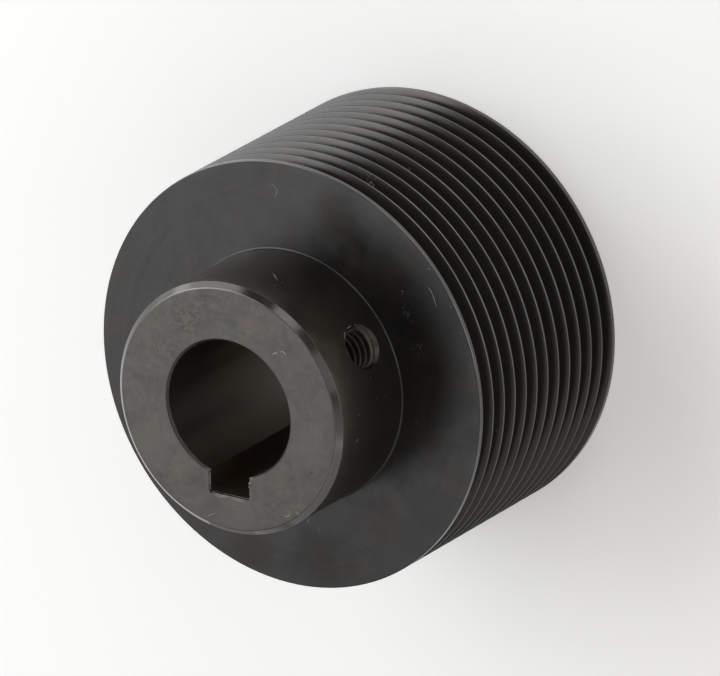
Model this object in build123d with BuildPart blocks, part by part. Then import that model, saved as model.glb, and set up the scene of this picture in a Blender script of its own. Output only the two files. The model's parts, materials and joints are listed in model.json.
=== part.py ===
from build123d import *

import os
from math import radians, tan

# Ribbed belt pulley, turned from one piece of steel: a rim with V grooves, a hub on its front, a keyed
# bore right through and one tapped hole for a set screw in the hub.
# Millimetres. +Z runs along the bore with the hub up, and the origin is the centre of the rim's back
# face. The keyway opens towards -Y.

# Rim and its V grooves, to the standard belt profile with a rib every 3.56
rim_diameter = 78.0
groove_count = 12
groove_pitch = 3.56
groove_angle = 40.0
rib_tip_width = 0.35
face_to_first_groove = 2.5
rim_edge_break = 0.3

# Hub
hub_diameter = 46.0
hub_length = 19.84
hub_nose_chamfer = 1.0

# Bore, with the standard keyway for its diameter
bore_diameter = 25.0
bore_chamfer = 0.4
keyway_width = 8.0
keyway_depth = 3.3
keyway_angle = -90.0

# Set screw hole: M8, open to the thread's outer diameter
screw_diameter = 8.0
screw_mouth_diameter = 9.0
screw_mouth_angle = 90.0
screw_height_on_hub = 7.6
screw_angle_from_keyway = 120.0

# Worked out from the sizes above
rim_radius = rim_diameter / 2
rim_width = (groove_count - 1) * groove_pitch + 2 * face_to_first_groove
hub_radius = hub_diameter / 2
bore_radius = bore_diameter / 2
overall_length = rim_width + hub_length


def round_edges(part, radius):
    """The part's circles of this radius, from the lowest to the highest."""
    circles = part.edges().filter_by(GeomType.CIRCLE)
    return circles.filter_by(lambda edge: abs(edge.radius - radius) < 1e-6).sort_by(Axis.Z)


def groove_section():
    """One V groove about the point where its middle meets the rim's surface, open to the outside."""
    slope = tan(radians(groove_angle / 2))
    half_mouth = (groove_pitch - rib_tip_width) / 2
    root_depth = half_mouth / slope
    clear_of_rim = rib_tip_width
    half_top = half_mouth + clear_of_rim * slope
    Polygon((-root_depth, 0), (clear_of_rim, -half_top), (clear_of_rim, half_top), align=None)


with BuildPart() as pulley:
    # Blank: the rim and, on its front face, the hub. The back is faced off square.
    with BuildSketch():
        Circle(rim_radius)
    extrude(amount=rim_width)
    with BuildSketch(Plane.XY.offset(rim_width)):
        Circle(hub_radius)
    extrude(amount=hub_length)
    chamfer(round_edges(pulley, rim_radius)[-1], length=rim_edge_break)
    chamfer(round_edges(pulley, hub_radius)[-1], length=hub_nose_chamfer)

    # V grooves side by side across the rim, so that a rib with a narrow flat tip is left between two
    with BuildSketch(Plane.XZ):
        middles = [face_to_first_groove + number * groove_pitch for number in range(groove_count)]
        with Locations([(rim_radius, middle) for middle in middles]):
            groove_section()
    revolve(axis=Axis.Z, mode=Mode.SUBTRACT)

    # Bore, chamfered at its mouth in the hub before the keyway is broached through it
    Hole(bore_radius)
    chamfer(round_edges(pulley, bore_radius)[-1], length=bore_chamfer)
    with BuildSketch(Plane.XY.rotated((0, 0, keyway_angle))):
        Rectangle(bore_radius + keyway_depth, keyway_width, align=(Align.MIN, Align.CENTER))
    extrude(amount=overall_length, mode=Mode.SUBTRACT)

    # Set screw hole, square to the bore, from the hub's side into the bore
    outwards = Vector(1, 0, 0).rotate(Axis.Z, keyway_angle + screw_angle_from_keyway)
    screw_height = Vector(0, 0, rim_width + screw_height_on_hub)
    with Locations(Plane(origin=outwards * hub_radius + screw_height, x_dir=(0, 0, 1), z_dir=outwards)):
        CounterSinkHole(
            radius=screw_diameter / 2,
            counter_sink_radius=screw_mouth_diameter / 2,
            counter_sink_angle=screw_mouth_angle,
            depth=hub_radius,
        )

pulley.part.label = "pulley"
os.makedirs("parts", exist_ok=True)
export_step(pulley.part, "parts/pulley.step")
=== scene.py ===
"""The looks of a ribbed belt pulley in black-oxide steel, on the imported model's frame."""

import json
import logging
from dataclasses import dataclass, field
from enum import Enum
from math import cos, hypot, pi, radians, sin, tan
from random import Random

import bmesh
import bpy
from bpy.types import Material, Mesh, Node, NodeSocket, Object
from mathutils import Matrix, Quaternion, Vector

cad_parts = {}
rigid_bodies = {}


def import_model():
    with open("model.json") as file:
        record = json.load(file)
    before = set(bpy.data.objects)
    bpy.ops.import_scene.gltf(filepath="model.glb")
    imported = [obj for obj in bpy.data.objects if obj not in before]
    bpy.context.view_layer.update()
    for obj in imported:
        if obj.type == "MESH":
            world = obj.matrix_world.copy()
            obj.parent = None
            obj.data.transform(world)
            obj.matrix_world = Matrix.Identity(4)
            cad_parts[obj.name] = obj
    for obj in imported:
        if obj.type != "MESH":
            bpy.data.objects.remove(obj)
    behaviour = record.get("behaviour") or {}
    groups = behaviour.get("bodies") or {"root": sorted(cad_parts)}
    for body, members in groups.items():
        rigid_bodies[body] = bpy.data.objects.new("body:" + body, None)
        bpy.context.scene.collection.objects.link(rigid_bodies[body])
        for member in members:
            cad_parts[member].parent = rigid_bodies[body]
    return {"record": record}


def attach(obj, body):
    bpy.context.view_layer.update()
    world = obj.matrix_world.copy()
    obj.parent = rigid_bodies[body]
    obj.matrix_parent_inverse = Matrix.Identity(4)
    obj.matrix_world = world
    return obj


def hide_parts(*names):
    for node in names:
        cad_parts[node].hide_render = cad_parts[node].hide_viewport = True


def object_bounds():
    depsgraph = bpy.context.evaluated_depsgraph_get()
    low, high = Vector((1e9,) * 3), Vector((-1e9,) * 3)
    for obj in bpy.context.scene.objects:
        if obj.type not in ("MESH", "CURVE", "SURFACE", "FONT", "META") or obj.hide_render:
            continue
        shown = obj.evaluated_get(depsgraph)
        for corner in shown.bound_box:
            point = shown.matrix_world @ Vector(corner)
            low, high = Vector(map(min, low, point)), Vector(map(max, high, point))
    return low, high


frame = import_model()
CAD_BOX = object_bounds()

log = logging.getLogger("pulley")
Tone = tuple[float, float, float, float]
MM = 0.001
# How near to a surface a face's middle counts as on it
NEAR = 0.02 * MM
# The outermost ring of the rim, which takes in the ribs' tips and the lands beside the end grooves
TIP_RING = 0.06 * MM
# Degrees in a radian, as the marks were laid out with it
DEGREES = 57.3
# What a mix node needs to lay one colour over another, and to tint one by another
LAYER = {"data_type": "RGBA", "blend_type": "MIX"}
TINT = {"data_type": "RGBA", "blend_type": "MULTIPLY"}
# A fade that starts and ends softly
SMOOTH = {"interpolation_type": "SMOOTHSTEP"}


def linear(colour: str) -> Tone:
    """An sRGB hex colour as linear red, green, blue and alpha."""
    parts = [int(colour[i : i + 2], 16) / 255 for i in (1, 3, 5)]
    return (*(c / 12.92 if c <= 0.04045 else ((c + 0.055) / 1.055) ** 2.4 for c in parts), 1.0)


def scale(size_mm: float) -> float:
    """A pattern's scale, from the real size of what it shows."""
    return 1 / (size_mm * MM)


def mount(name: str) -> dict:
    """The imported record's mount of this name."""
    return next(m for m in frame["record"]["mounts"] if m["name"] == name)


def bare_material(name: str) -> Material:
    """A new material with no nodes yet."""
    material = bpy.data.materials.new(name)
    material.use_nodes = True
    material.node_tree.nodes.clear()
    return material


def shape(name: str, verts: list, faces: list) -> Mesh:
    """A new mesh of these corners and faces."""
    mesh = bpy.data.meshes.new(name)
    mesh.from_pydata(verts, [], faces)
    return mesh


def place(mesh: Mesh, name: str) -> Object:
    """A new object of this name in the scene.

    Args:
        mesh: What it shows, with its place in its vertices.
        name: The piece's name.

    Returns:
        The object, linked to the scene's collection.
    """
    piece = bpy.data.objects.new(name, mesh)
    bpy.context.scene.collection.objects.link(piece)
    return piece


@dataclass
class Profile:
    """A closed turning profile in a plane through the axis, walked with the metal on its left."""

    points: list[tuple[float, float]] = field(default_factory=list)

    def to(self, radius: float, height: float) -> None:
        """Goes straight to a point."""
        self.points.append((radius, height))

    def arc(self, radius: float, height: float, size: float, start: float, end: float, steps: int) -> None:
        """Goes round an arc.

        Args:
            radius: The arc centre's distance from the axis.
            height: The arc centre's height.
            size: The arc's own radius.
            start: Where it starts, in degrees from straight outwards.
            end: Where it ends.
            steps: How many straight lines it is drawn with.
        """
        for i in range(steps + 1):
            turn = radians(start + (end - start) * i / steps)
            self.to(radius + size * cos(turn), height + size * sin(turn))

    def revolve(self, name: str, segments: int) -> Mesh:
        """The solid that the profile turns into.

        Args:
            name: The mesh's name.
            segments: How many faces it has round the axis.

        Returns:
            A closed mesh about Z. No corner is on the X or Y axis, so it is no wider than the CAD mesh.
        """
        turns = [2 * pi * (j + 0.5) / segments for j in range(segments)]
        verts = [(r * cos(t), r * sin(t), z) for r, z in self.points for t in turns]
        rows = len(self.points)
        faces = []
        for i in range(rows):
            low, high = i * segments, (i + 1) % rows * segments
            for j in range(segments):
                k = (j + 1) % segments
                faces.append((low + j, low + k, high + k, high + j))
        return shape(name, verts, faces)


class Zone(Enum):
    """The differently finished parts of the pulley's surface, in the order of its material slots."""

    FLANGE = 0
    HUB_FACE = 1
    HUB_SIDE = 2
    GROOVES = 3
    BORE = 4
    THREAD = 5
    BACK = 6
    CRESTS = 7
    NOSE = 8
    FILED = 9
    MOUTH = 10
    KEYWAY = 11
    MOUTH_EDGE = 12
    NOSE_EDGE = 13


class Ground(Enum):
    """The surfaces that carry the marks of handling."""

    RIM_FACE = 0
    HUB_FACE = 1
    HUB_SIDE = 2
    RIBS = 3


class Mark(Enum):
    """What a mark is, in the order of the material slots of the marks."""

    LINT = 0
    SCRATCH = 1
    PIT = 2
    DUST = 3


@dataclass
class TappedHole:
    """The empty tapped hole in the hub's side, as the shape that is cut out of the metal.

    Its cutter stands out of the hub's side by the length past, and a face within cone_near of the mouth's
    cone belongs to the countersink.
    """

    axis: Vector
    hub_radius: float
    height: float
    pitch: float = 1.25 * MM
    major: float = 4.0 * MM
    minor: float = 3.32 * MM
    mouth: float = 4.45 * MM
    around: int = 64
    reach: float = 13.5 * MM
    past: float = 1.2 * MM
    cone_near: float = 0.03 * MM

    def plane(self) -> Matrix:
        """Takes Z to the hole's axis, outwards, with the origin on the hub's side."""
        turn = self.axis.to_track_quat("Z", "Y").to_matrix().to_4x4()
        return Matrix.Translation(self.axis * self.hub_radius + Vector((0, 0, self.height))) @ turn

    def thread(self) -> Mesh:
        """A right-handed threaded rod, with its rows along the helix so that the crests come out clean.

        Returns:
            A closed mesh, placed on the hole's axis.
        """
        low, high = self.minor, self.major
        # Parts of a turn and the radius there: root, flank, crest, flank
        steps = [(0.0, low), (0.2, low), (0.46, high), (0.54, high), (0.8, low)]
        per_turn = len(steps)
        turns = int(self.reach / self.pitch) + 2
        rows = [((n + s) * self.pitch, r) for n in range(turns) for s, r in steps]
        start = self.past - rows[-1][0]
        verts = []
        for s, r in rows:
            for j in range(self.around):
                t = 2 * pi * j / self.around
                verts.append((r * cos(t), r * sin(t), start + s + self.pitch * j / self.around))
        count, wide = len(rows), self.around
        faces = []
        for i in range(count - 1):
            for j in range(wide - 1):
                a, b = i * wide + j, (i + 1) * wide + j
                faces.append((a, a + 1, b + 1, b))
            if i + per_turn + 1 < count:
                a, b = i * wide + wide - 1, (i + 1) * wide + wide - 1
                faces.append((a, (i + per_turn) * wide, (i + per_turn + 1) * wide, b))
        bottom = [i * wide for i in range(per_turn, -1, -1)] + list(range(1, wide))
        top = [(count - 1) * wide + j for j in range(wide)]
        top += [i * wide + wide - 1 for i in range(count - 2, count - per_turn - 2, -1)]
        verts += [(0, 0, start - self.pitch), (0, 0, start + rows[-1][0] + 2 * self.pitch)]
        faces += [(len(verts) - 2, b, a) for a, b in zip(bottom, bottom[1:] + bottom[:1])]
        faces += [(len(verts) - 1, a, b) for a, b in zip(top, top[1:] + top[:1])]
        mesh = shape("thread_cutter", verts, faces)
        mesh.transform(self.plane())
        return mesh

    def opens(self, spot: Vector) -> bool:
        """Whether a point lies on the cone that opens the mouth."""
        local = self.plane().inverted() @ spot
        off_cone = abs(local.xy.length - self.mouth - local.z)
        return local.z > self.minor - self.mouth and off_cone < self.cone_near

    def countersink(self) -> Mesh:
        """The cone that opens the mouth.

        Returns:
            A closed mesh, placed on the hole's axis.
        """
        axis, out, short = 1e-6, 1.0 * MM, 0.2 * MM
        foot = short - (self.mouth - self.minor)
        cone = Profile([(axis, foot), (self.minor + short, foot), (self.mouth + out, out), (axis, out)])
        mesh = cone.revolve("mouth_cutter", self.around)
        mesh.transform(self.plane())
        return mesh


@dataclass
class TurnedPulley:
    """The whole pulley: one turned piece with a grooved rim, a hub, a keyed bore and a tapped hole.

    Heights are measured from its back. The nose is the hub's front chamfer, nose_edge the radius between
    that and the hub's face, and blunt the radius of the chamfers' other edges. A file took deburr off the
    keyway's floor edge and half as much off its sides. A face that lies more than hole_depth inside the
    hub's side belongs to the hole.
    """

    rim_radius: float
    rim_width: float
    length: float
    bore_radius: float
    keyway_floor: float
    hole: TappedHole
    hub_radius: float = 23.0 * MM
    hub_chamfer: float = 1.0 * MM
    hub_root: float = 0.32 * MM
    rim_break: float = 0.2 * MM
    back_break: float = 0.12 * MM
    bore_chamfer: float = 0.4 * MM
    nose_edge: float = 0.35 * MM
    blunt: float = 0.1 * MM
    deburr: float = 0.3 * MM
    keyway_width: float = 8.0 * MM
    grooves: int = 12
    pitch: float = 3.56 * MM
    first_groove: float = 2.5 * MM
    half_angle: float = 20.0
    tip: float = 0.08 * MM
    tip_flat: float = 0.35 * MM
    root: float = 0.3 * MM
    segments: int = 256
    file_seed: int = 7
    hole_depth: float = 0.05 * MM

    def half_mouth(self) -> float:
        """Half of a groove's width at the rim."""
        return (self.pitch - self.tip_flat) / 2

    def groove_middle(self, number: int) -> float:
        """The height of a groove's middle."""
        return self.first_groove + number * self.pitch

    def profile(self) -> Profile:
        """The turned section, with every small radius that the tools leave.

        Returns:
            The section, from the bore's rear edge outwards and round to the bore.
        """
        p = Profile()
        lean, side = radians(self.half_angle), 90 - self.half_angle
        rim, slope, half_mouth, back = self.rim_radius, tan(lean), self.half_mouth(), self.back_break
        root_middle = rim - half_mouth / slope + self.root / sin(lean)
        # How far a rib's rounded corner starts from the sharp one
        inset = self.tip * (1 / cos(lean) - slope)
        corner = self.first_groove - half_mouth - inset
        p.to(self.bore_radius + back, 0)
        p.to(rim - back, 0)
        p.to(rim, back)
        p.arc(rim - self.tip, corner, self.tip, 0, side, 4)
        for n in range(self.grooves):
            middle = self.groove_middle(n)
            p.arc(root_middle, middle, self.root, 270 - self.half_angle, 90 + self.half_angle, 5)
            if n < self.grooves - 1:
                p.arc(rim - self.tip, middle + half_mouth + inset, self.tip, -side, 0, 3)
                p.arc(rim - self.tip, middle + self.pitch - half_mouth - inset, self.tip, 0, side, 3)
        p.arc(rim - self.tip, self.rim_width - corner, self.tip, -side, 0, 4)
        p.arc(rim - self.rim_break, self.rim_width - self.rim_break, self.rim_break, 0, 90, 5)
        p.arc(self.hub_radius + self.hub_root, self.rim_width + self.hub_root, self.hub_root, 270, 180, 5)
        # A rounding of a chamfer's edge starts this many radii from the edge
        eighth = tan(radians(22.5))
        blunt, nose, mouth = self.blunt, self.nose_edge, self.bore_chamfer
        p.arc(self.hub_radius - blunt, self.length - self.hub_chamfer - blunt * eighth, blunt, 0, 45, 3)
        p.arc(self.hub_radius - self.hub_chamfer - nose * eighth, self.length - nose, nose, 45, 90, 4)
        p.arc(self.bore_radius + mouth + blunt * eighth, self.length - blunt, blunt, 90, 135, 3)
        p.arc(self.bore_radius + blunt, self.length - mouth - blunt * eighth, blunt, 135, 180, 3)
        p.to(self.bore_radius, back)
        return p

    def keyway(self) -> Mesh:
        """The broach's shape, long enough to pass both ends.

        Returns:
            A closed block from the axis to the keyway's floor.
        """
        mesh = bpy.data.meshes.new("keyway_cutter")
        box = bmesh.new()
        bmesh.ops.create_cube(box, size=1)
        size = Matrix.Diagonal((self.keyway_width, self.keyway_floor, self.length * 1.2, 1))
        middle = Matrix.Translation((0, -self.keyway_floor / 2, self.length / 2))
        bmesh.ops.transform(box, verts=box.verts, matrix=middle @ size)
        box.to_mesh(mesh)
        box.free()
        return mesh

    def filed_edges(self) -> Mesh:
        """What a file took off the keyway's three edges at the hub face, uneven as by hand.

        Returns:
            A closed strip along the edges. Its section has five corners, and slopes down to the edge.
        """
        half, floor, top = self.keyway_width / 2, self.keyway_floor, self.length
        inner, stroke, over, held, wide = -self.bore_radius * 0.9, 0.3 * MM, 0.3 * MM, 0.6, 5
        corners = [(-half, inner), (-half, -floor), (half, -floor), (half, inner)]
        shake = Random(self.file_seed)
        spine = []
        for (x0, y0), (x1, y1) in zip(corners, corners[1:]):
            steps = max(3, round(hypot(x1 - x0, y1 - y0) / stroke))
            out = Vector((y1 - y0, x0 - x1)).normalized()
            bite = width = self.deburr if abs(x1 - x0) > abs(y1 - y0) else self.deburr * 0.5
            for i in range(steps):
                part = i / steps
                # Each stroke keeps most of the one before, so that the edge waves slowly
                bite = held * bite + (1 - held) * width * shake.uniform(0.5, 1.5)
                spine.append((x0 + (x1 - x0) * part, y0 + (y1 - y0) * part, -out, bite))
        verts, faces = [], []
        for x, y, out, bite in spine:
            inward = -out * over
            verts += [
                (x + out.x * bite, y + out.y * bite, top + over),
                (x + out.x * bite, y + out.y * bite, top),
                (x, y, top - bite),
                (x + inward.x, y + inward.y, top - bite),
                (x + inward.x, y + inward.y, top + over),
            ]
        for i in range(len(spine) - 1):
            a, b = i * wide, (i + 1) * wide
            faces += [(a + k, a + (k + 1) % wide, b + (k + 1) % wide, b + k) for k in range(wide)]
        last = len(verts) - wide
        faces += [tuple(reversed(range(wide))), tuple(last + k for k in range(wide))]
        mesh = shape("file_cutter", verts, faces)
        solid = bmesh.new()
        solid.from_mesh(mesh)
        bmesh.ops.recalc_face_normals(solid, faces=solid.faces)
        solid.to_mesh(mesh)
        solid.free()
        return mesh

    def surface(self, ground: Ground, degrees: float, reach: float) -> tuple[Vector, Vector]:
        """A point of the turned surface.

        Args:
            ground: Which surface.
            degrees: The point's direction from the axis.
            reach: Its radius on a face, its height on a side.

        Returns:
            The point and the surface's normal there.
        """
        turn = radians(degrees)
        out, up = Vector((cos(turn), sin(turn), 0)), Vector((0, 0, 1))
        if ground is Ground.RIM_FACE:
            return out * reach + up * self.rim_width, up
        if ground is Ground.HUB_FACE:
            return out * reach + up * self.length, up
        if ground is Ground.HUB_SIDE:
            return out * self.hub_radius + up * reach, out
        nearest = round((reach - self.first_groove) / self.pitch)
        middle = self.groove_middle(min(max(nearest, 0), self.grooves - 1))
        offset = reach - middle
        sunk = max(0.0, self.half_mouth() - abs(offset))
        if sunk == 0:
            return out * self.rim_radius + up * reach, out
        lean = radians(self.half_angle)
        normal = out * sin(lean) - up * cos(lean) * (1 if offset > 0 else -1)
        return out * (self.rim_radius - sunk / tan(lean)) + up * reach, normal

    def zone(self, middle: Vector, normal: Vector) -> Zone:
        """Which finish a face has.

        Args:
            middle: The face's middle.
            normal: Which way it faces.

        Returns:
            Its zone.
        """
        out, x = middle.xy.length, abs(middle.x)
        half_key, nose_foot = self.keyway_width / 2, self.length - self.hub_chamfer
        # What the file left leans, and lies near the keyway's edges and close under the hub's face
        by_key = x < half_key + 2 * self.deburr and middle.y < -self.bore_radius * 0.85
        if by_key and NEAR < self.length - middle.z < 2 * self.deburr and 0.3 < normal.z < 0.95:
            return Zone.FILED
        if out < self.bore_radius + NEAR:
            return Zone.BORE
        if normal.z < 0.3 and out < self.keyway_floor * 1.02 and x < half_key + NEAR:
            return Zone.KEYWAY
        if abs(middle.z - self.length) < NEAR:
            return Zone.HUB_FACE
        mouth = self.bore_radius + self.bore_chamfer + self.blunt
        if out < mouth and middle.z > self.length - self.bore_chamfer:
            return Zone.MOUTH_EDGE
        if middle.z < NEAR:
            return Zone.BACK
        corner = self.hub_radius - self.hub_chamfer - self.nose_edge
        if middle.z > self.length - 0.3 * self.nose_edge and out > corner:
            return Zone.NOSE_EDGE
        if middle.z < self.rim_width + self.hub_root - NEAR:
            return self.rim_zone(out, middle.z)
        if self.hole.opens(middle):
            return Zone.MOUTH
        if middle.z > nose_foot:
            return Zone.NOSE
        return Zone.THREAD if out < self.hub_radius - self.hole_depth else Zone.HUB_SIDE

    def rim_zone(self, out: float, height: float) -> Zone:
        """Which finish a face of the rim has.

        Args:
            out: How far its middle is from the axis.
            height: How high that is.

        Returns:
            Its zone. The rear land is turned as smooth as the hub's side, and the front one as its nose.
        """
        tip = out > self.rim_radius - TIP_RING
        if tip and height < self.first_groove:
            return Zone.HUB_SIDE
        at_edge = self.rim_width - self.rim_break < height < self.rim_width - NEAR
        if at_edge and out > self.rim_radius - self.rim_break:
            return Zone.CRESTS
        if tip:
            return Zone.NOSE if height > self.rim_width - self.first_groove else Zone.CRESTS
        if out > self.hub_radius + self.hub_root + NEAR and height < self.rim_width - NEAR:
            return Zone.GROOVES
        return Zone.FLANGE

    def build(self) -> Object:
        """Turns the body and cuts the keyway and the tapped hole.

        Returns:
            The cut piece, smooth but for its sharp edges. Its zones and their slots come from dress.
        """
        body = place(self.profile().revolve("pulley_body", self.segments), "pulley_body")
        shapes = (self.keyway(), self.filed_edges(), self.hole.thread(), self.hole.countersink())
        cutters = [place(mesh, mesh.name) for mesh in shapes]
        for cutter in cutters:
            cut = body.modifiers.new(cutter.name, "BOOLEAN")
            cut.object, cut.operation, cut.solver = cutter, "DIFFERENCE", "EXACT"
        bpy.context.view_layer.update()
        done = bpy.data.meshes.new_from_object(body.evaluated_get(bpy.context.evaluated_depsgraph_get()))
        body.modifiers.clear()
        body.data = done
        done.name = "pulley_body"
        for cutter in cutters:
            bpy.data.objects.remove(cutter)
        for face in done.polygons:
            face.use_smooth = True
        done.set_sharp_from_angle(angle=radians(30))
        weigh = body.modifiers.new("even_normals", "WEIGHTED_NORMAL")
        weigh.keep_sharp, weigh.weight = True, 80
        log.info("pulley_body: %d faces", len(done.polygons))
        return body

    def dress(self, body: Object, finishes: dict[Zone, Material]) -> None:
        """Gives each zone its finish.

        Args:
            body: The turned piece.
            finishes: The material of every zone.
        """
        body.data.materials.clear()
        for zone in Zone:
            body.data.materials.append(finishes[zone])
        for face in body.data.polygons:
            face.material_index = self.zone(face.center, face.normal).value


def add(material: Material, kind: str, settings: dict | None = None, **links: NodeSocket) -> Node:
    """Adds one node with its settings and links.

    Args:
        material: Where the node goes.
        kind: The node's type without its ShaderNode, such as Mix.
        settings: Properties of the node by name, and default values of inputs by their name or number.
        links: The socket that feeds each input, by name, with an underscore for a blank or before a number.

    Returns:
        The new node.
    """
    node = material.node_tree.nodes.new("ShaderNode" + kind)
    for key, value in (settings or {}).items():
        if isinstance(key, str) and hasattr(node, key):
            setattr(node, key, value)
        else:
            node.inputs[key].default_value = value
    for key, socket in links.items():
        name = int(key[1:]) if key[1:].isdigit() else key.replace("_", " ")
        material.node_tree.links.new(socket, node.inputs[name])
    return node


@dataclass(frozen=True)
class Spot:
    """Sockets that tell a finish which spot of the piece it colours.

    Attributes:
        m: The material they belong to.
        where: Object coordinates.
        out: The distance from the axis.
        along: The way along the turned section.
        rings: The lathe tool's rings, from 0 to 1.
    """

    m: Material
    where: NodeSocket
    out: NodeSocket
    along: NodeSocket
    rings: NodeSocket


@dataclass(frozen=True)
class StainAndPaintedLight:
    """A patch with a soft uneven edge: oil, dirt or rust dried on a face, and also painted light and shade.

    Attributes:
        spot: Its middle, in mm from the part's origin.
        reach: How far it goes from there, in mm.
        colour: Its tone.
        share: How strong it is in its middle.
        crazed: Whether it shows only as fine lines, as a dried film does when it cracks.
        crack_mm: How far apart those lines are.
    """

    spot: tuple[float, float, float]
    reach: float
    colour: str
    share: float
    crazed: bool = False
    crack_mm: float = 1.9

    def lay(self, at: Spot, colour: NodeSocket) -> NodeSocket:
        """Lays the patch, a stain or painted light and shade, over a colour.

        Args:
            at: The spot's sockets.
            colour: What is under it.

        Returns:
            The new colour's socket.
        """
        m, where = at.m, at.where
        reach, spot = self.reach * MM, Vector(self.spot) * MM
        noise = {"Scale": 1 / reach, "Detail": 5.0, "Roughness": 0.6}
        ragged = add(m, "TexNoise", noise, Vector=where).outputs["Fac"]
        away = add(m, "VectorMath", {"operation": "DISTANCE", 1: spot}, _0=where).outputs["Value"]
        edge = add(m, "Math", {"operation": "MULTIPLY_ADD", 1: reach * 1.8}, _0=ragged, _2=away)
        fade = {**SMOOTH, "From Min": reach * 1.9, "From Max": reach, "To Max": self.share}
        share = add(m, "MapRange", fade, Value=edge.outputs[0]).outputs[0]
        if self.crazed:
            cracks = {"Scale": scale(self.crack_mm), "Detail": 6.0, "Roughness": 0.6, "Distortion": 1.2}
            film = add(m, "TexNoise", cracks, Vector=where).outputs["Fac"]
            line = add(m, "Math", {"operation": "COMPARE", 1: 0.5, 2: 0.022}, _0=film).outputs[0]
            share = add(m, "Math", {"operation": "MULTIPLY"}, _0=share, _1=line).outputs[0]
        return add(m, "Mix", {**LAYER, 7: linear(self.colour)}, _0=share, _6=colour).outputs[2]


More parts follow.
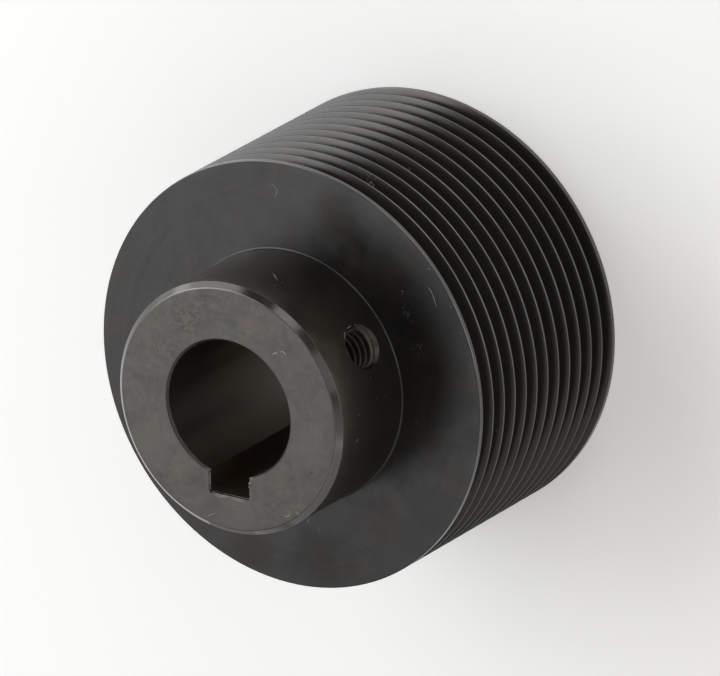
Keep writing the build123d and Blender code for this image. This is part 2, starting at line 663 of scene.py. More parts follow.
@dataclass(frozen=True)
class OxidisedSteel:
    """Turned steel under a thin brown-black oxide film.

    The film keeps the metal's soft sheen, so a face is nearly black where it mirrors a dark place and grey
    where it mirrors a pale one. To the eye it is cloudy, with cool and warm patches, and it carries the
    fine rings of the lathe tool. Painted shade can darken it inwards, towards the roots of the grooves.

    Attributes:
        name: The material's name.
        cool, plain, warm: Its bluish patches, most of it, and its brownish patches.
        roughness: From typical values for oxidised turned steel, then matched.
        metal: 1 for the bare film, less where rust and dried oil lie on it.
        cloud_mm: How far apart the patches are.
        mottle_mm, mottle: How far apart the fine mottling is, and how strong.
        feed_mm: The lathe tool's feed, drawn two or three times as coarse as the real one so that it shows.
        ring_depth: How strongly the rings bend the light.
        tide, scum: How strong the thin edges of dried pools are, and their colour.
        bands, band_mm, sweep_mm: How strong the wider rings of the tool or a rag are, how far apart, and
            how far they go before they fade.
        root_shade_span, root_shade_colour: The radii in mm across which painted shade fades out outwards,
        and its colour inside them.
        glance: How much the film dims what it mirrors at a glancing angle, where 1 is bare metal.
        rub, touch_mm: How much the roughness varies, and how far apart its spots are.
        stains_and_painted_light: What has dried on it, and patches of painted light and shade.
        pool_mm, wet_mm: How wide the pools are, and how far apart the patches on which they lay.
    """

    name: str
    cool: str
    plain: str
    warm: str
    roughness: float
    metal: float = 1.0
    cloud_mm: float = 9.0
    mottle_mm: float = 1.3
    mottle: float = 0.14
    feed_mm: float = 0.35
    ring_depth: float = 0.15
    tide: float = 0.0
    bands: float = 0.0
    root_shade_span: tuple[float, float] | None = None
    root_shade_colour: str = "#37302a"
    glance: str = "#ffffff"
    rub: float = 0.05
    stains_and_painted_light: tuple[StainAndPaintedLight, ...] = ()
    band_mm: float = 1.6
    sweep_mm: float = 12.0
    pool_mm: float = 5.0
    wet_mm: float = 14.0
    scum: str = "#8c8782"
    touch_mm: float = 4.0

    def tones(self, at: Spot) -> NodeSocket:
        """The surface's colour.

        Args:
            at: The spot's sockets.

        Returns:
            The colour's socket.
        """
        m, where = at.m, at.where
        patches = {"Scale": scale(self.cloud_mm), "Detail": 5.0, "Roughness": 0.62, "Distortion": 0.6}
        clouds = add(m, "TexNoise", patches, Vector=where).outputs["Fac"]
        ramp = add(m, "ValToRGB", Fac=clouds)
        stops = ramp.color_ramp.elements
        stops[0].position, stops[0].color = 0.36, linear(self.cool)
        stops[1].position, stops[1].color = 0.64, linear(self.warm)
        stops.new(0.5).color = linear(self.plain)
        specks = {"Scale": scale(self.mottle_mm), "Detail": 3.0, "Roughness": 0.7}
        mottle = add(m, "TexNoise", specks, Vector=where).outputs["Fac"]
        both = add(m, "Math", {"operation": "MULTIPLY_ADD", 1: 0.35}, _0=at.rings, _2=mottle).outputs[0]
        span = {"From Min": 0.4, "From Max": 0.95, "To Min": 1 - self.mottle, "To Max": 1 + self.mottle}
        shade = add(m, "MapRange", span, Value=both).outputs[0]
        grey = add(m, "CombineXYZ", X=shade, Y=shade, Z=shade).outputs[0]
        colour = add(m, "Mix", {**TINT, 0: 1.0}, _6=ramp.outputs["Color"], _7=grey).outputs[2]
        # Painted shade: darker towards the roots of the grooves, fading out between two radii
        if self.root_shade_span:
            inner, outer = (radius * MM for radius in self.root_shade_span)
            fade = {**SMOOTH, "From Min": inner, "From Max": outer}
            share = add(m, "MapRange", fade, Value=at.out).outputs[0]
            root_shade_colour = {**LAYER, 6: linear(self.root_shade_colour)}
            colour = add(m, "Mix", root_shade_colour, _0=share, _7=colour).outputs[2]
        # Stains, and patches of painted light and shade
        for stain_and_light in self.stains_and_painted_light:
            colour = stain_and_light.lay(at, colour)
        if self.bands:
            colour = self.wide_rings(at, colour)
        if self.tide:
            colour = self.tide_lines(at, colour)
        return colour

    def wide_rings(self, at: Spot, colour: NodeSocket) -> NodeSocket:
        """Wider rings about the axis, which fade in and out on their way round.

        Args:
            at: The spot's sockets.
            colour: What is under them.

        Returns:
            The new colour's socket.
        """
        m = at.m
        wide = {"noise_dimensions": "1D", "Scale": scale(self.band_mm), "Detail": 2.0}
        rings = add(m, "TexNoise", wide, W=at.along).outputs["Fac"]
        patch = add(m, "TexNoise", {"Scale": scale(self.sweep_mm), "Detail": 1.0}, Vector=at.where)
        share = add(m, "MapRange", {"From Min": 0.4, "From Max": 0.6}, Value=patch.outputs["Fac"])
        swing = 2 * self.bands
        span = {"From Min": 0.3, "From Max": 0.7, "To Min": 1 - swing, "To Max": 1 + swing}
        shade = add(m, "MapRange", span, Value=rings).outputs[0]
        grey = add(m, "CombineXYZ", X=shade, Y=shade, Z=shade).outputs[0]
        return add(m, "Mix", TINT, _0=share.outputs[0], _6=colour, _7=grey).outputs[2]

    def tide_lines(self, at: Spot, colour: NodeSocket) -> NodeSocket:
        """Thin paler edges where a liquid dried, on the patches where it lay.

        Args:
            at: The spot's sockets.
            colour: What is under them.

        Returns:
            The new colour's socket.
        """
        m, where = at.m, at.where
        pools = {"Scale": scale(self.pool_mm), "Detail": 6.0, "Distortion": 1.2}
        film = add(m, "TexNoise", pools, Vector=where).outputs["Fac"]
        edge = add(m, "Math", {"operation": "COMPARE", 1: 0.5, 2: 0.012}, _0=film).outputs[0]
        lay = add(m, "TexNoise", {"Scale": scale(self.wet_mm), "Detail": 1.0}, Vector=where)
        there = {"From Min": 0.5, "From Max": 0.62, "To Max": self.tide}
        share = add(m, "MapRange", there, Value=lay.outputs["Fac"]).outputs[0]
        line = add(m, "Math", {"operation": "MULTIPLY"}, _0=edge, _1=share).outputs[0]
        return add(m, "Mix", {**LAYER, 7: linear(self.scum)}, _0=line, _6=colour).outputs[2]

    def material(self) -> Material:
        """The finish as a node material.

        Returns:
            The material, to put in a slot of the piece.
        """
        m = bare_material(self.name)
        where = add(m, "TexCoord").outputs["Object"]
        parts = add(m, "SeparateXYZ", Vector=where).outputs
        flat = add(m, "CombineXYZ", X=parts["X"], Y=parts["Y"]).outputs[0]
        out = add(m, "VectorMath", {"operation": "LENGTH"}, Vector=flat).outputs["Value"]
        # Rings about the axis on a face, where the radius changes, and along a side, where the height does
        along = add(m, "Math", {"operation": "ADD"}, _0=out, _1=parts["Z"]).outputs[0]
        feed = {"noise_dimensions": "1D", "Scale": scale(self.feed_mm), "Detail": 2.0}
        rings = add(m, "TexNoise", feed, W=along).outputs["Fac"]
        lift = {"Strength": self.ring_depth, "Distance": 0.01 * MM}
        bump = add(m, "Bump", lift, Height=rings).outputs["Normal"]
        colour = self.tones(Spot(m, where, out, along, rings))
        touch = add(m, "TexNoise", {"Scale": scale(self.touch_mm), "Detail": 3.0}, Vector=where)
        least, most = self.roughness - self.rub, self.roughness + self.rub
        span = {"From Min": 0.3, "From Max": 0.7, "To Min": least, "To Max": most}
        rough = add(m, "MapRange", span, Value=touch.outputs["Fac"]).outputs[0]
        film = {"Metallic": self.metal, "Specular Tint": linear(self.glance)}
        steel = add(m, "BsdfPrincipled", film, Base_Color=colour, Roughness=rough, Normal=bump)
        add(m, "OutputMaterial", Surface=steel.outputs[0])
        return m


HUB_STAINS = (
    StainAndPaintedLight((-7.6, 14.8, 64.0), 5.5, "#423e3a", 0.75, crazed=True),
    StainAndPaintedLight((-3.7, 19.0, 64.0), 4.0, "#423e3a", 0.75, crazed=True),
    StainAndPaintedLight((-13.0, 9.0, 64.0), 4.5, "#46423d", 0.6, crazed=True),
    StainAndPaintedLight((1.0, 16.3, 64.0), 2.0, "#525457", 0.5),
    StainAndPaintedLight((4.9, 16.2, 64.0), 1.7, "#6b5f51", 0.5),
    StainAndPaintedLight((15.4, 8.0, 64.0), 3.0, "#56585b", 0.4),
    StainAndPaintedLight((16.5, -3.0, 64.0), 5.0, "#696867", 0.6),
    StainAndPaintedLight((-16.5, -9.0, 64.0), 6.0, "#676461", 0.6),
    StainAndPaintedLight((2.0, -19.5, 64.0), 5.0, "#686562", 0.6),
    StainAndPaintedLight((-6.0, -15.0, 64.0), 2.4, "#575757", 0.5),
    StainAndPaintedLight((-2.5, 18.6, 64.0), 1.2, "#706d69", 0.5),
)


# Painted light and shade on the rim's face: paler patches on the -X side and near (15, -31) mm, darker ones
# towards +Y and -Y
RIM_PAINTED_LIGHT_AND_SHADE = (
    StainAndPaintedLight((-35.5, 14.0, 44.16), 5.5, "#4a4643", 0.5),
    StainAndPaintedLight((-38.0, 2.0, 44.16), 5.5, "#4b4643", 0.6),
    StainAndPaintedLight((-36.0, -12.0, 44.16), 5.5, "#4b4642", 0.6),
    StainAndPaintedLight((-28.0, -25.0, 44.16), 6.0, "#47423f", 0.6),
    StainAndPaintedLight((11.0, 31.0, 44.16), 8.0, "#343332", 0.8),
    StainAndPaintedLight((6.0, -33.0, 44.16), 9.0, "#393837", 0.8),
    StainAndPaintedLight((-9.0, -35.0, 44.16), 6.0, "#3e3a37", 0.6),
    StainAndPaintedLight((14.5, -33.5, 44.16), 2.5, "#514740", 0.4),
    StainAndPaintedLight((15.5, -28.5, 44.16), 2.0, "#4e4640", 0.35),
)


# Painted shade: dark patches high on the hub's side, about 47 degrees round from +X
SIDE_PAINTED_SHADE = (
    StainAndPaintedLight((15.7, 16.8, 64.0), 9.5, "#3a3633", 0.7),
    StainAndPaintedLight((14.2, 18.1, 64.0), 7.0, "#35322f", 0.8),
    StainAndPaintedLight((19.0, 13.0, 64.0), 5.0, "#3c3835", 0.7),
)


def finishes() -> dict[Zone, Material]:
    """The finish of each zone, with what it gives the eye.

    Returns:
        The material of every zone.
    """
    made = {
        # Faced and oiled: smooth dark grey, nearly black where it mirrors the dark of the room, with
        # patches of painted light and shade
        Zone.FLANGE: OxidisedSteel(
            "oxidised_steel_faced_rim", "#434445", "#454545", "#474443", 0.33, metal=0.92,
            mottle_mm=0.9, mottle=0.08, ring_depth=0.06, bands=0.03, stains_and_painted_light=RIM_PAINTED_LIGHT_AND_SHADE,
        ),
        # Rubbed by a washer and by hands: paler and cloudy, with dried edges
        Zone.HUB_FACE: OxidisedSteel(
            "oxidised_steel_rubbed_hub_face", "#5c5b5a", "#5f5d5b", "#635f5b", 0.40, cloud_mm=5.0,
            mottle_mm=1.9, mottle=0.16, ring_depth=0.08, tide=0.1, rub=0.03, stains_and_painted_light=HUB_STAINS,
        ),
        # Turned smooth: soft streaks of light along it, brown-black beside them, and patches of painted
        # shade near its top
        Zone.HUB_SIDE: OxidisedSteel(
            "oxidised_steel_turned_hub", "#68625d", "#6c655f", "#6e665d", 0.245, metal=0.95,
            mottle_mm=0.9, mottle=0.06, ring_depth=0.04, bands=0.03, rub=0.015, stains_and_painted_light=SIDE_PAINTED_SHADE,
        ),
        # The chamfer, almost polished: it flashes where a lamp stands and is dark beside it
        Zone.NOSE: OxidisedSteel(
            "bright_steel_hub_nose", "#595958", "#5b5a59", "#5d5a57", 0.18, mottle=0.08, ring_depth=0.25,
        ),
        # The corner above it, burnished by handling and made paler still as a painted highlight: a thin
        # bright line
        Zone.NOSE_EDGE: OxidisedSteel(
            "burnished_steel_hub_corner_painted_highlight", "#787775", "#7b7a78", "#7d7b78", 0.3, mottle=0.2, rub=0.02,
        ),
        # Dark flanks that turn grey towards the tips, with painted shade that darkens them towards the
        # roots
        Zone.GROOVES: OxidisedSteel(
            "oxidised_steel_belt_grooves_painted_shade", "#545657", "#565757", "#585858", 0.22, metal=0.96, mottle=0.05,
            ring_depth=0.08, rub=0.02, root_shade_span=(37.9, 38.95), root_shade_colour="#54504d", glance="#919498",
        ),
        # Tips where the film is rubbed thin, made paler still as a painted highlight: fine bright rings
        # between the dark grooves
        Zone.CRESTS: OxidisedSteel(
            "rubbed_steel_rib_crests_painted_highlight", "#6c6d6f", "#6e6f6f", "#706f6d", 0.2,
            mottle=0.08, rub=0.02, glance="#9a9b9c",
        ),
        # Bored and never rubbed: a warm brown satin tube, made far paler than the outer steel as painted
        # light inside the deep bore
        Zone.BORE: OxidisedSteel(
            "brown_oxide_bored_painted_light", "#8f8984", "#918a84", "#948b82", 0.31,
            cloud_mm=7.0, mottle_mm=0.6, mottle=0.05, ring_depth=0.05, rub=0.02,
        ),
        # The screw hole's countersink: a dull dark ring
        Zone.MOUTH: OxidisedSteel(
            "oxidised_steel_countersink", "#433f3d", "#474340", "#4a4440", 0.38, mottle_mm=0.5, mottle=0.25,
        ),
        # Broached: the bore's brown, a little duller, and likewise made far paler than the outer steel as
        # painted light
        Zone.KEYWAY: OxidisedSteel(
            "brown_oxide_broached_painted_light", "#8d837a", "#918478", "#958576", 0.35,
            metal=0.98, mottle_mm=0.6, mottle=0.1,
        ),
        # The bore's chamfer: a dull grey ring round the warm bore
        Zone.MOUTH_EDGE: OxidisedSteel(
            "oxidised_steel_bore_mouth", "#4c4b4a", "#4e4d4b", "#514e4b", 0.5,
            metal=0.9, mottle_mm=0.5, mottle=0.2,
        ),
        # Tapped: brown turns that hardly shine
        Zone.THREAD: OxidisedSteel(
            "brown_oxide_tapped", "#433e39", "#48413b", "#4b433b", 0.5,
            metal=0.55, mottle_mm=0.5, mottle=0.3,
        ),
        # The rear, faced: plain dark grey
        Zone.BACK: OxidisedSteel("oxidised_steel_faced_back", "#444546", "#464646", "#484544", 0.40),
        # Filed after the oxide bath: matt and paler, with most of the film gone
        Zone.FILED: OxidisedSteel(
            "bright_filed_steel", "#5f5c59", "#66625f", "#6d6965", 0.55,
            metal=0.8, mottle_mm=0.3, mottle=0.4,
        ),
    }
    return {zone: finish.material() for zone, finish in made.items()}


@dataclass(frozen=True)
class Hair:
    """One fine mark on its ground, by a path of points.

    A point is a direction in degrees, then a radius on a face or a height on a side, in mm.
    """

    ground: Ground
    path: tuple[tuple[float, float], ...]
    width: float
    mark: Mark


@dataclass
class Handling:
    """The lint, flecks, scratches and scuffs that lie on the pulley.

    Each one is a low closed ridge, half sunk in the surface that carries it.

    Attributes:
        proud: A ridge's height as a share of half its width.
        low: How much of that is left on the hub's face, which is seen nearly square on.
        slim: Half of a ridge's width as a share of the width it is given.
        thin: How wide its ends are as a share of its middle.
        pieces: How many lengths a ridge has from one point of its path to the next.
    """

    pulley: TurnedPulley
    proud: float = 0.25
    low: float = 0.15
    slim: float = 0.36
    thin: float = 0.3
    pieces: int = 4
    hub_mm: float = 23
    rim_mm: float = 39
    seed: int = 11
    verts: list[Vector] = field(default_factory=list)
    faces: list[tuple[int, ...]] = field(default_factory=list)
    marks: list[int] = field(default_factory=list)

    def around(self, ground: Ground, reach: float) -> float:
        """The radius at which a mark lies, in mm, from its ground and its own radius or height."""
        if ground in (Ground.RIM_FACE, Ground.HUB_FACE):
            return reach
        return self.hub_mm if ground is Ground.HUB_SIDE else self.rim_mm

    def ridge(self, hair: Hair) -> None:
        """Adds one mark's ridge, thin at its ends.

        Args:
            hair: The mark.
        """
        steps, n = [], self.pieces
        for (a0, b0), (a1, b1) in zip(hair.path, hair.path[1:]):
            steps += [(a0 + (a1 - a0) * i / n, b0 + (b1 - b0) * i / n) for i in range(n)]
        steps.append(hair.path[-1])
        spots = [self.pulley.surface(hair.ground, a, b * MM) for a, b in steps]
        shake = Random(f"{hair.path}")
        first, end = len(self.verts), len(spots) - 1
        # Across the ridge and above or below the surface, in halves of its width and heights
        section = ((-1, 0), (-0.5, 1), (0.5, 1), (1, 0), (0.5, -1), (-0.5, -1))
        sides = len(section)
        for i, (spot, normal) in enumerate(spots):
            before, after = spots[max(i - 1, 0)][0], spots[min(i + 1, end)][0]
            side = (after - before).cross(normal).normalized()
            inside = min(i, end - i) / max(1, end / 2)
            full = self.thin + (1 - self.thin) * min(1.0, 1.6 * inside)
            half = hair.width * MM * self.slim * full * shake.uniform(0.75, 1.2)
            rise = half * self.proud * (self.low if hair.ground is Ground.HUB_FACE else 1.0)
            for across, height in section:
                self.verts.append(spot + side * across * half + normal * height * rise)
        for i in range(end):
            a, b = first + i * sides, first + (i + 1) * sides
            self.faces += [(a + k, a + (k + 1) % sides, b + (k + 1) % sides, b + k) for k in range(sides)]
        last = len(self.verts) - sides
        self.faces.append(tuple(first + k for k in reversed(range(sides))))
        self.faces.append(tuple(last + k for k in range(sides)))
        self.marks += [hair.mark.value] * (sides * end + 2)

    def dust(self, ground: Ground, near: float, far: float, count: int, turns: tuple[float, float]) -> None:
        """Adds specks of dust at random.

        Args:
            ground: Where they lie.
            near: The least radius or height, in mm.
            far: The greatest.
            count: How many.
            turns: The first and last direction, in degrees.
        """
        shake = Random(self.seed * 10 + ground.value)
        for _ in range(count):
            a, b = shake.uniform(*turns), shake.uniform(near, far)
            long = shake.choice((0.1, 0.12, 0.16, 0.35))
            lean = shake.uniform(0, 2 * pi)
            turn = long * cos(lean) / self.around(ground, b) * DEGREES
            path = ((a, b), (a + turn, b + long * sin(lean)))
            self.ridge(Hair(ground, path, shake.uniform(0.06, 0.11), Mark.DUST))

    def scuff(
        self, ground: Ground, middle: tuple[float, float], reach: float, count: int, lean: float,
        mark: Mark = Mark.DUST,
    ) -> None:
        """Adds a patch of fine scratches that lie about one way.

        Args:
            ground: Where it lies.
            middle: Its middle, in degrees and mm.
            reach: How far it goes, in mm.
            count: How many scratches.
            lean: Their direction, in degrees from round the axis.
            mark: What they are.
        """
        shake = Random(f"{middle}")
        about = self.around(ground, middle[1])
        for _ in range(count):
            x, y = shake.gauss(0, reach / 2), shake.gauss(0, reach / 3)
            turn = radians(lean + shake.uniform(-25, 25))
            long = shake.uniform(0.3, 0.9)
            start = (middle[0] + x / about * DEGREES, middle[1] + y)
            end = (start[0] + long * cos(turn) / about * DEGREES, start[1] + long * sin(turn))
            self.ridge(Hair(ground, (start, end), shake.uniform(0.05, 0.1), mark))

    def build(self, hairs: tuple[Hair, ...]) -> Object:
        """Lays all the marks down as one piece.

        Args:
            hairs: The marks that are placed one by one.

        Returns:
            The piece, with a material slot for each kind of mark.
        """
        for hair in hairs:
            self.ridge(hair)
        self.dust(Ground.RIM_FACE, 24, 38, 60, (-80, 80))
        self.dust(Ground.HUB_SIDE, 45, 63, 14, (-20, 90))
        self.dust(Ground.RIBS, 1, 43, 40, (-60, 110))
        self.scuff(Ground.RIBS, (70.5, 37.4), 1.6, 26, 60)
        self.scuff(Ground.RIM_FACE, (33.0, 28.6), 1.2, 10, 70)
        self.scuff(Ground.RIM_FACE, (20.0, 27.8), 2.0, 8, 40)
        self.scuff(Ground.HUB_FACE, (-51.0, 21.3), 1.2, 14, 20)
        self.scuff(Ground.HUB_FACE, (-102.0, 20.6), 1.0, 8, 30)
        self.scuff(Ground.HUB_FACE, (49.0, 16.5), 0.9, 12, 20, Mark.LINT)
        mesh = shape("handling_marks", self.verts, self.faces)
        for finish in DUSTINGS:
            mesh.materials.append(finish.material())
        mesh.polygons.foreach_set("material_index", self.marks)
        log.info("handling_marks: %d faces", len(mesh.polygons))
        return place(mesh, "handling_marks")


@dataclass(frozen=True)
class Dusting:
    """What a mark is made of, a little uneven in its tone.

    Attributes:
        name: The material's name.
        colour: Its own.
        metal: 0 for cotton, dirt and dust.
        roughness: From typical values for it.
        grain_mm: How far apart its lighter and darker spots are.
    """

    name: str
    colour: str
    metal: float
    roughness: float
    grain_mm: float = 0.4

    def material(self) -> Material:
        """The finish as a node material.

        Returns:
            The material, to put in a slot of the marks.
        """
        m = bare_material(self.name)
        where = add(m, "TexCoord").outputs["Object"]
        grain = add(m, "TexNoise", {"Scale": scale(self.grain_mm), "Detail": 2.0}, Vector=where)
        span = {"To Min": 0.65, "To Max": 1.25}
        shade = add(m, "MapRange", span, Value=grain.outputs["Fac"]).outputs[0]
        grey = add(m, "CombineXYZ", X=shade, Y=shade, Z=shade).outputs[0]
        colour = add(m, "Mix", {**TINT, 0: 1.0, 7: linear(self.colour)}, _6=grey).outputs[2]
        look = {"Metallic": self.metal, "Roughness": self.roughness}
        body = add(m, "BsdfPrincipled", look, Base_Color=colour)
        add(m, "OutputMaterial", Surface=body.outputs[0])
        return m


DUSTINGS = (
    # Cotton threads: pale and quite matt
    Dusting("pale_lint", "#9a958e", 0.0, 0.9),
    # A scratch through the film: brighter than what is round it
    Dusting("bared_steel", "#8d8a86", 0.6, 0.45),
    # Dirt in a pit: dark, with hardly any shine
    Dusting("dark_pit", "#1d1a17", 0.0, 0.6),
    # Fine dust: dull grey specks
    Dusting("grey_dust", "#565350", 0.0, 0.8),
)


LINT, SCRATCH, PIT, DUST = Mark

# What lies on each ground: a mark, its width in mm, then its path in degrees and mm, as a Hair has them
LAID = (
    (Ground.HUB_SIDE, (
        (SCRATCH, 0.2, (36.9, 55.0), (38.3, 54.5), (39.3, 53.8)),
        (SCRATCH, 0.24, (39.7, 53.1), (40.1, 52.4), (39.9, 51.6)),
        (SCRATCH, 0.16, (39.8, 50.9), (39.5, 50.2)),
    )),
    (Ground.RIM_FACE, (
        (LINT, 0.13, (95.4, 34.8), (94.2, 34.5), (93.5, 33.8), (93.8, 33.1), (94.6, 32.6)),
        (LINT, 0.15, (37.2, 35.7), (36.1, 36.0), (34.6, 35.9), (32.5, 35.6), (30.8, 35.3)),
        (DUST, 0.34, (40.5, 30.5), (40.0, 30.8)),
        (DUST, 0.2, (39.6, 30.2), (39.2, 30.3)),
        (DUST, 0.2, (47.6, 37.3), (47.3, 37.6)),
        (SCRATCH, 0.2, (41.0, 38.2), (40.4, 38.5)),
        (SCRATCH, 0.2, (29.8, 38.1), (29.3, 38.3)),
        (DUST, 0.26, (104.3, 35.0), (104.0, 35.3)),
        (DUST, 0.16, (-35.2, 27.2), (-36.0, 28.6)),
        (DUST, 0.25, (-29.8, 26.9), (-29.5, 27.1)),
        (DUST, 0.22, (-32.6, 26.0), (-32.2, 26.2)),
        (DUST, 0.2, (-28.3, 24.5), (-27.9, 24.8)),
        (DUST, 0.22, (-23.0, 33.7), (-22.8, 34.0)),
        (DUST, 0.2, (-37.8, 31.0), (-37.3, 31.3)),
        (DUST, 0.1, (-8.0, 25.7), (-9.3, 26.8)),
        (DUST, 0.32, (-47.5, 24.2), (-47.8, 24.8)),
        (DUST, 0.3, (-73.4, 23.6), (-73.0, 23.9)),
        (DUST, 0.2, (-71.0, 26.7), (-70.8, 27.0)),
        (LINT, 0.16, (-79.9, 27.7), (-79.3, 28.2), (-78.9, 28.6)),
        (LINT, 0.14, (-84.3, 27.1), (-83.2, 26.8), (-82.7, 26.1)),
    )),
    (Ground.HUB_SIDE, (
        (LINT, 0.17, (81.1, 54.4), (78.9, 55.2), (76.5, 55.9)),
        (DUST, 0.2, (74.4, 58.0), (73.9, 58.3)),
        (DUST, 0.14, (73.9, 55.9), (73.4, 56.1)),
        (DUST, 0.2, (16.4, 52.6), (16.0, 52.9)),
        (DUST, 0.2, (6.7, 52.0), (6.2, 52.3)),
        (DUST, 0.18, (5.4, 49.2), (5.1, 49.5)),
        (DUST, 0.22, (3.8, 57.7), (3.4, 58.0)),
        (DUST, 0.3, (1.2, 60.1), (0.7, 60.4)),
        (SCRATCH, 0.25, (-7.2, 58.0), (-8.8, 58.5)),
    )),
    (Ground.HUB_FACE, (
        (LINT, 0.34, (52.1, 15.0), (51.5, 15.6), (50.4, 16.3)),
        (LINT, 0.34, (49.3, 16.9), (48.0, 17.3), (46.6, 17.4), (45.6, 17.2)),
        (SCRATCH, 0.26, (-103.6, 16.5), (-98.0, 16.2), (-90.0, 16.08), (-83.0, 16.2), (-77.5, 16.45)),
        (SCRATCH, 0.3, (-101.0, 16.7), (-96.0, 16.5), (-92.5, 16.3)),
        (LINT, 0.24, (-88.5, 16.4), (-84.0, 16.5), (-79.0, 16.8)),
        (LINT, 0.36, (-73.2, 13.6), (-72.3, 13.5), (-71.0, 13.3)),
        (LINT, 0.3, (-73.4, 14.3), (-73.2, 13.9)),
        (DUST, 0.13, (51.9, 16.9), (50.4, 17.1), (49.4, 17.0)),
        (LINT, 0.16, (-58.6, 20.2), (-57.0, 20.9), (-55.5, 21.1), (-53.9, 21.0), (-52.4, 20.5)),
        (LINT, 0.26, (-50.1, 21.2), (-49.6, 22.0)),
        (DUST, 0.2, (-50.3, 16.2), (-50.7, 16.8)),
        (PIT, 0.22, (-26.2, 18.6), (-26.6, 19.1)),
        (DUST, 0.14, (-99.8, 17.9), (-99.1, 19.0), (-100.0, 19.5), (-100.8, 19.9), (-104.7, 21.7)),
        (LINT, 0.14, (-98.7, 19.9), (-101.0, 20.5), (-104.4, 21.6)),
        (DUST, 0.2, (-96.4, 19.3), (-96.0, 19.5)),
        (LINT, 0.16, (-88.4, 17.3), (-88.1, 17.5)),
        (DUST, 0.16, (-87.5, 18.3), (-87.2, 18.5)),
        (LINT, 0.18, (-138.7, 19.6), (-138.2, 19.9)),
        (LINT, 0.2, (-149.1, 22.0), (-148.8, 22.2)),
    )),
    (Ground.RIBS, (
        (LINT, 0.13, (73.6, 36.9), (72.0, 38.0), (70.9, 38.3), (70.5, 37.4), (70.7, 36.9),
         (69.4, 37.0), (67.4, 37.8)),
        (DUST, 0.3, (68.7, 26.2), (68.3, 26.5)),
        (DUST, 0.1, (68.2, 26.9), (67.6, 27.6)),
        (DUST, 0.28, (64.5, 41.5), (63.9, 41.7)),
        (DUST, 0.24, (81.4, 35.2), (80.8, 35.5)),
        (DUST, 0.22, (51.4, 37.7), (50.2, 38.2)),
        (DUST, 0.24, (47.7, 27.5), (47.2, 27.7)),
        (DUST, 0.4, (-32.2, 40.7), (-32.8, 41.2)),
        (LINT, 0.2, (-2.4, 3.3), (-3.6, 2.7), (-4.9, 2.6), (-6.0, 2.9), (-7.0, 3.0), (-9.2, 3.4)),
    )),
)
HAIRS = tuple(
    Hair(ground, tuple(path), width, mark) for ground, rows in LAID for mark, width, *path in rows
)


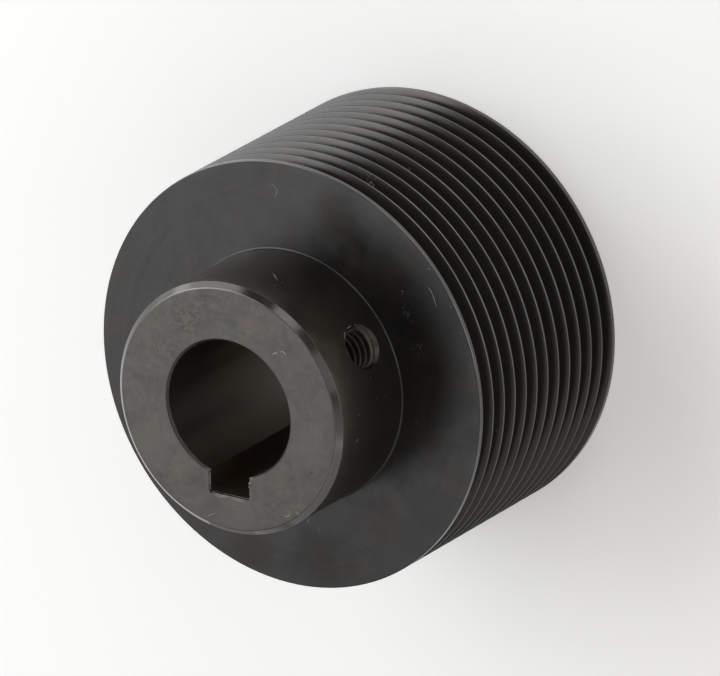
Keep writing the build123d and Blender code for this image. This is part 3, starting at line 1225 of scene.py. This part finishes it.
@dataclass
class Studio:
    """The floor, the soft lamps, the dim surroundings and the camera.

    Attributes:
        aim: What the camera looks at, from its azimuth, elevation, roll (degrees) and distance.
        floor_lift: How much the paper glows to a ray from the eye or a mirror, so that it is white there.
        lamp_centre: The height at which the lamps aim.
        lamp_tint: White with a trace of blue, in linear light.
        room: The dim warm room, in linear light.
        panels: Each lamp's name, direction, radiance, size and distance.
    """

    aim: Vector = field(default_factory=lambda: Vector((6.64, 4.20, 32.0)) * MM)
    azimuth: float = 34.3
    elevation: float = 51.871
    roll: float = -119.17
    distance: float = 2.7549
    lens: float = 791.7
    sensor: float = 36.0
    floor_reach: float = 6.0
    floor_lift: float = 0.25
    lamp_centre: float = 30 * MM
    lamp_tint: tuple[float, float, float] = (0.965, 0.985, 1.0)
    room: Tone = (0.185, 0.160, 0.138, 1)
    panels: tuple[tuple[str, tuple[float, float, float], float, float, float], ...] = (
        ("rim_panel", (-0.70, 0.67, 0.35), 1.55, 0.7, 0.9),
        ("strip_panel", (-0.93, 0.36, 0.10), 1.2, 0.35, 0.9),
        ("nose_panel", (0.22, 0.79, 0.57), 1.3, 0.3, 0.9),
        ("left_panel", (-0.70, 0.24, 0.68), 1.7, 0.6, 0.9),
        ("face_panel", (-0.62, -0.12, 0.78), 1.3, 0.38, 0.55),
        ("back_panel", (0.50, 0.85, 0.16), 1.4, 0.5, 0.9),
        ("front_panel", (0.60, -0.75, 0.30), 0.7, 0.7, 0.9),
        ("side_panel", (0.81, -0.30, 0.53), 0.42, 0.42, 0.9),
        ("sky_panel", (0.73, 0.31, 0.61), 0.54, 0.44, 0.9),
        ("fore_panel", (0.10, -0.97, 0.13), 0.72, 0.34, 0.9),
        ("high_panel", (-0.42, 0.50, 0.76), 0.95, 0.3, 0.9),
        ("right_panel", (0.92, 0.22, 0.20), 1.6, 0.5, 0.9),
        ("flank_panel", (0.10, -0.47, 0.87), 0.2, 0.7, 0.9),
        ("low_panel", (-0.80, -0.55, 0.25), 0.5, 0.7, 0.9),
    )

    def camera(self) -> None:
        """The photograph's view: a long lens, well above the floor, rolled about its line of sight."""
        turn, rise = radians(self.azimuth), radians(self.elevation)
        back = Vector((cos(turn) * cos(rise), sin(turn) * cos(rise), sin(rise)))
        eye = bpy.data.cameras.new("camera")
        eye.lens, eye.sensor_width, eye.clip_start, eye.clip_end = self.lens, self.sensor, 0.1, 50.0
        camera = bpy.data.objects.new("camera", eye)
        bpy.context.scene.collection.objects.link(camera)
        camera.location = self.aim + back * self.distance
        camera.rotation_mode = "QUATERNION"
        roll = Quaternion((0, 0, 1), radians(self.roll))
        camera.rotation_quaternion = (-back).to_track_quat("-Z", "Y") @ roll
        bpy.context.scene.camera = camera

    def floor(self) -> None:
        """A wide white floor at the pulley's foot, white to the eye where no shadow falls."""
        far = self.floor_reach
        corners = [(-far, -far, 0), (far, -far, 0), (far, far, 0), (-far, far, 0)]
        mesh = shape("floor", corners, [(0, 1, 2, 3)])
        floor = place(mesh, "floor")
        m = bare_material("white_paper")
        ray = add(m, "LightPath").outputs
        either = {"operation": "MAXIMUM"}
        seen = add(m, "Math", either, _0=ray["Is Camera Ray"], _1=ray["Is Glossy Ray"]).outputs[0]
        seen = add(m, "Math", either, _0=seen, _1=ray["Is Transmission Ray"]).outputs[0]
        glow = add(m, "Math", {"operation": "MULTIPLY", 1: self.floor_lift}, _0=seen).outputs[0]
        matt = {"Base Color": linear("#f9fafa"), "Roughness": 0.9, "Emission Color": (1, 1, 1, 1)}
        paper = add(m, "BsdfPrincipled", matt, Emission_Strength=glow)
        add(m, "OutputMaterial", Surface=paper.outputs[0])
        mesh.materials.append(m)

    def panel(self, name: str, toward: Vector, radiance: float, size: float, away: float) -> None:
        """One soft square lamp that faces the pulley.

        Args:
            name: The lamp's name.
            toward: Where it stands as seen from the pulley.
            radiance: How bright its face is, where 1 is white.
            size: Its side.
            away: Its distance.
        """
        light = bpy.data.lights.new(name, "AREA")
        light.shape, light.size, light.energy = "SQUARE", size, radiance * pi * size * size
        light.color = self.lamp_tint
        lamp = bpy.data.objects.new(name, light)
        bpy.context.scene.collection.objects.link(lamp)
        lamp.location = toward.normalized() * away + Vector((0, 0, self.lamp_centre))
        lamp.rotation_mode = "QUATERNION"
        lamp.rotation_quaternion = toward.to_track_quat("Z", "Y")

    def surroundings(self) -> None:
        """A dim warm room behind the lamps, which the darker sides of the metal mirror."""
        world = bpy.data.worlds.new("pale_room")
        world.use_nodes = True
        world.node_tree.nodes["Background"].inputs["Color"].default_value = self.room
        bpy.context.scene.world = world

    def build(self) -> None:
        """Sets everything up."""
        bpy.context.scene.view_settings.view_transform = "Standard"
        self.floor()
        self.surroundings()
        for name, toward, radiance, size, away in self.panels:
            self.panel(name, Vector(toward), radiance, size, away)
        self.camera()


def main() -> None:
    """Builds the pulley, dresses it and sets up the studio."""
    logging.basicConfig(level=logging.INFO, format="%(name)s: %(message)s")
    low, high = CAD_BOX
    screw, rim = mount("set_screw"), mount("belt_rim")
    outwards = Vector(screw["axis"]).normalized()
    hole = TappedHole(axis=outwards, hub_radius=TurnedPulley.hub_radius, height=screw["pos_m"][2])
    pulley = TurnedPulley(
        rim_radius=(high.x - low.x) / 2,
        rim_width=rim["dims"]["length_mm"] * MM,
        length=high.z - low.z,
        bore_radius=mount("bore")["dims"]["r_mm"] * MM,
        keyway_floor=-mount("keyway")["pos_m"][1],
        hole=hole,
    )
    body = pulley.build()
    pulley.dress(body, finishes())
    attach(body, "root")
    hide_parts("pulley")
    marks = Handling(pulley).build(HAIRS)
    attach(marks, "root")
    Studio().build()


if __name__ == "__main__":
    main()
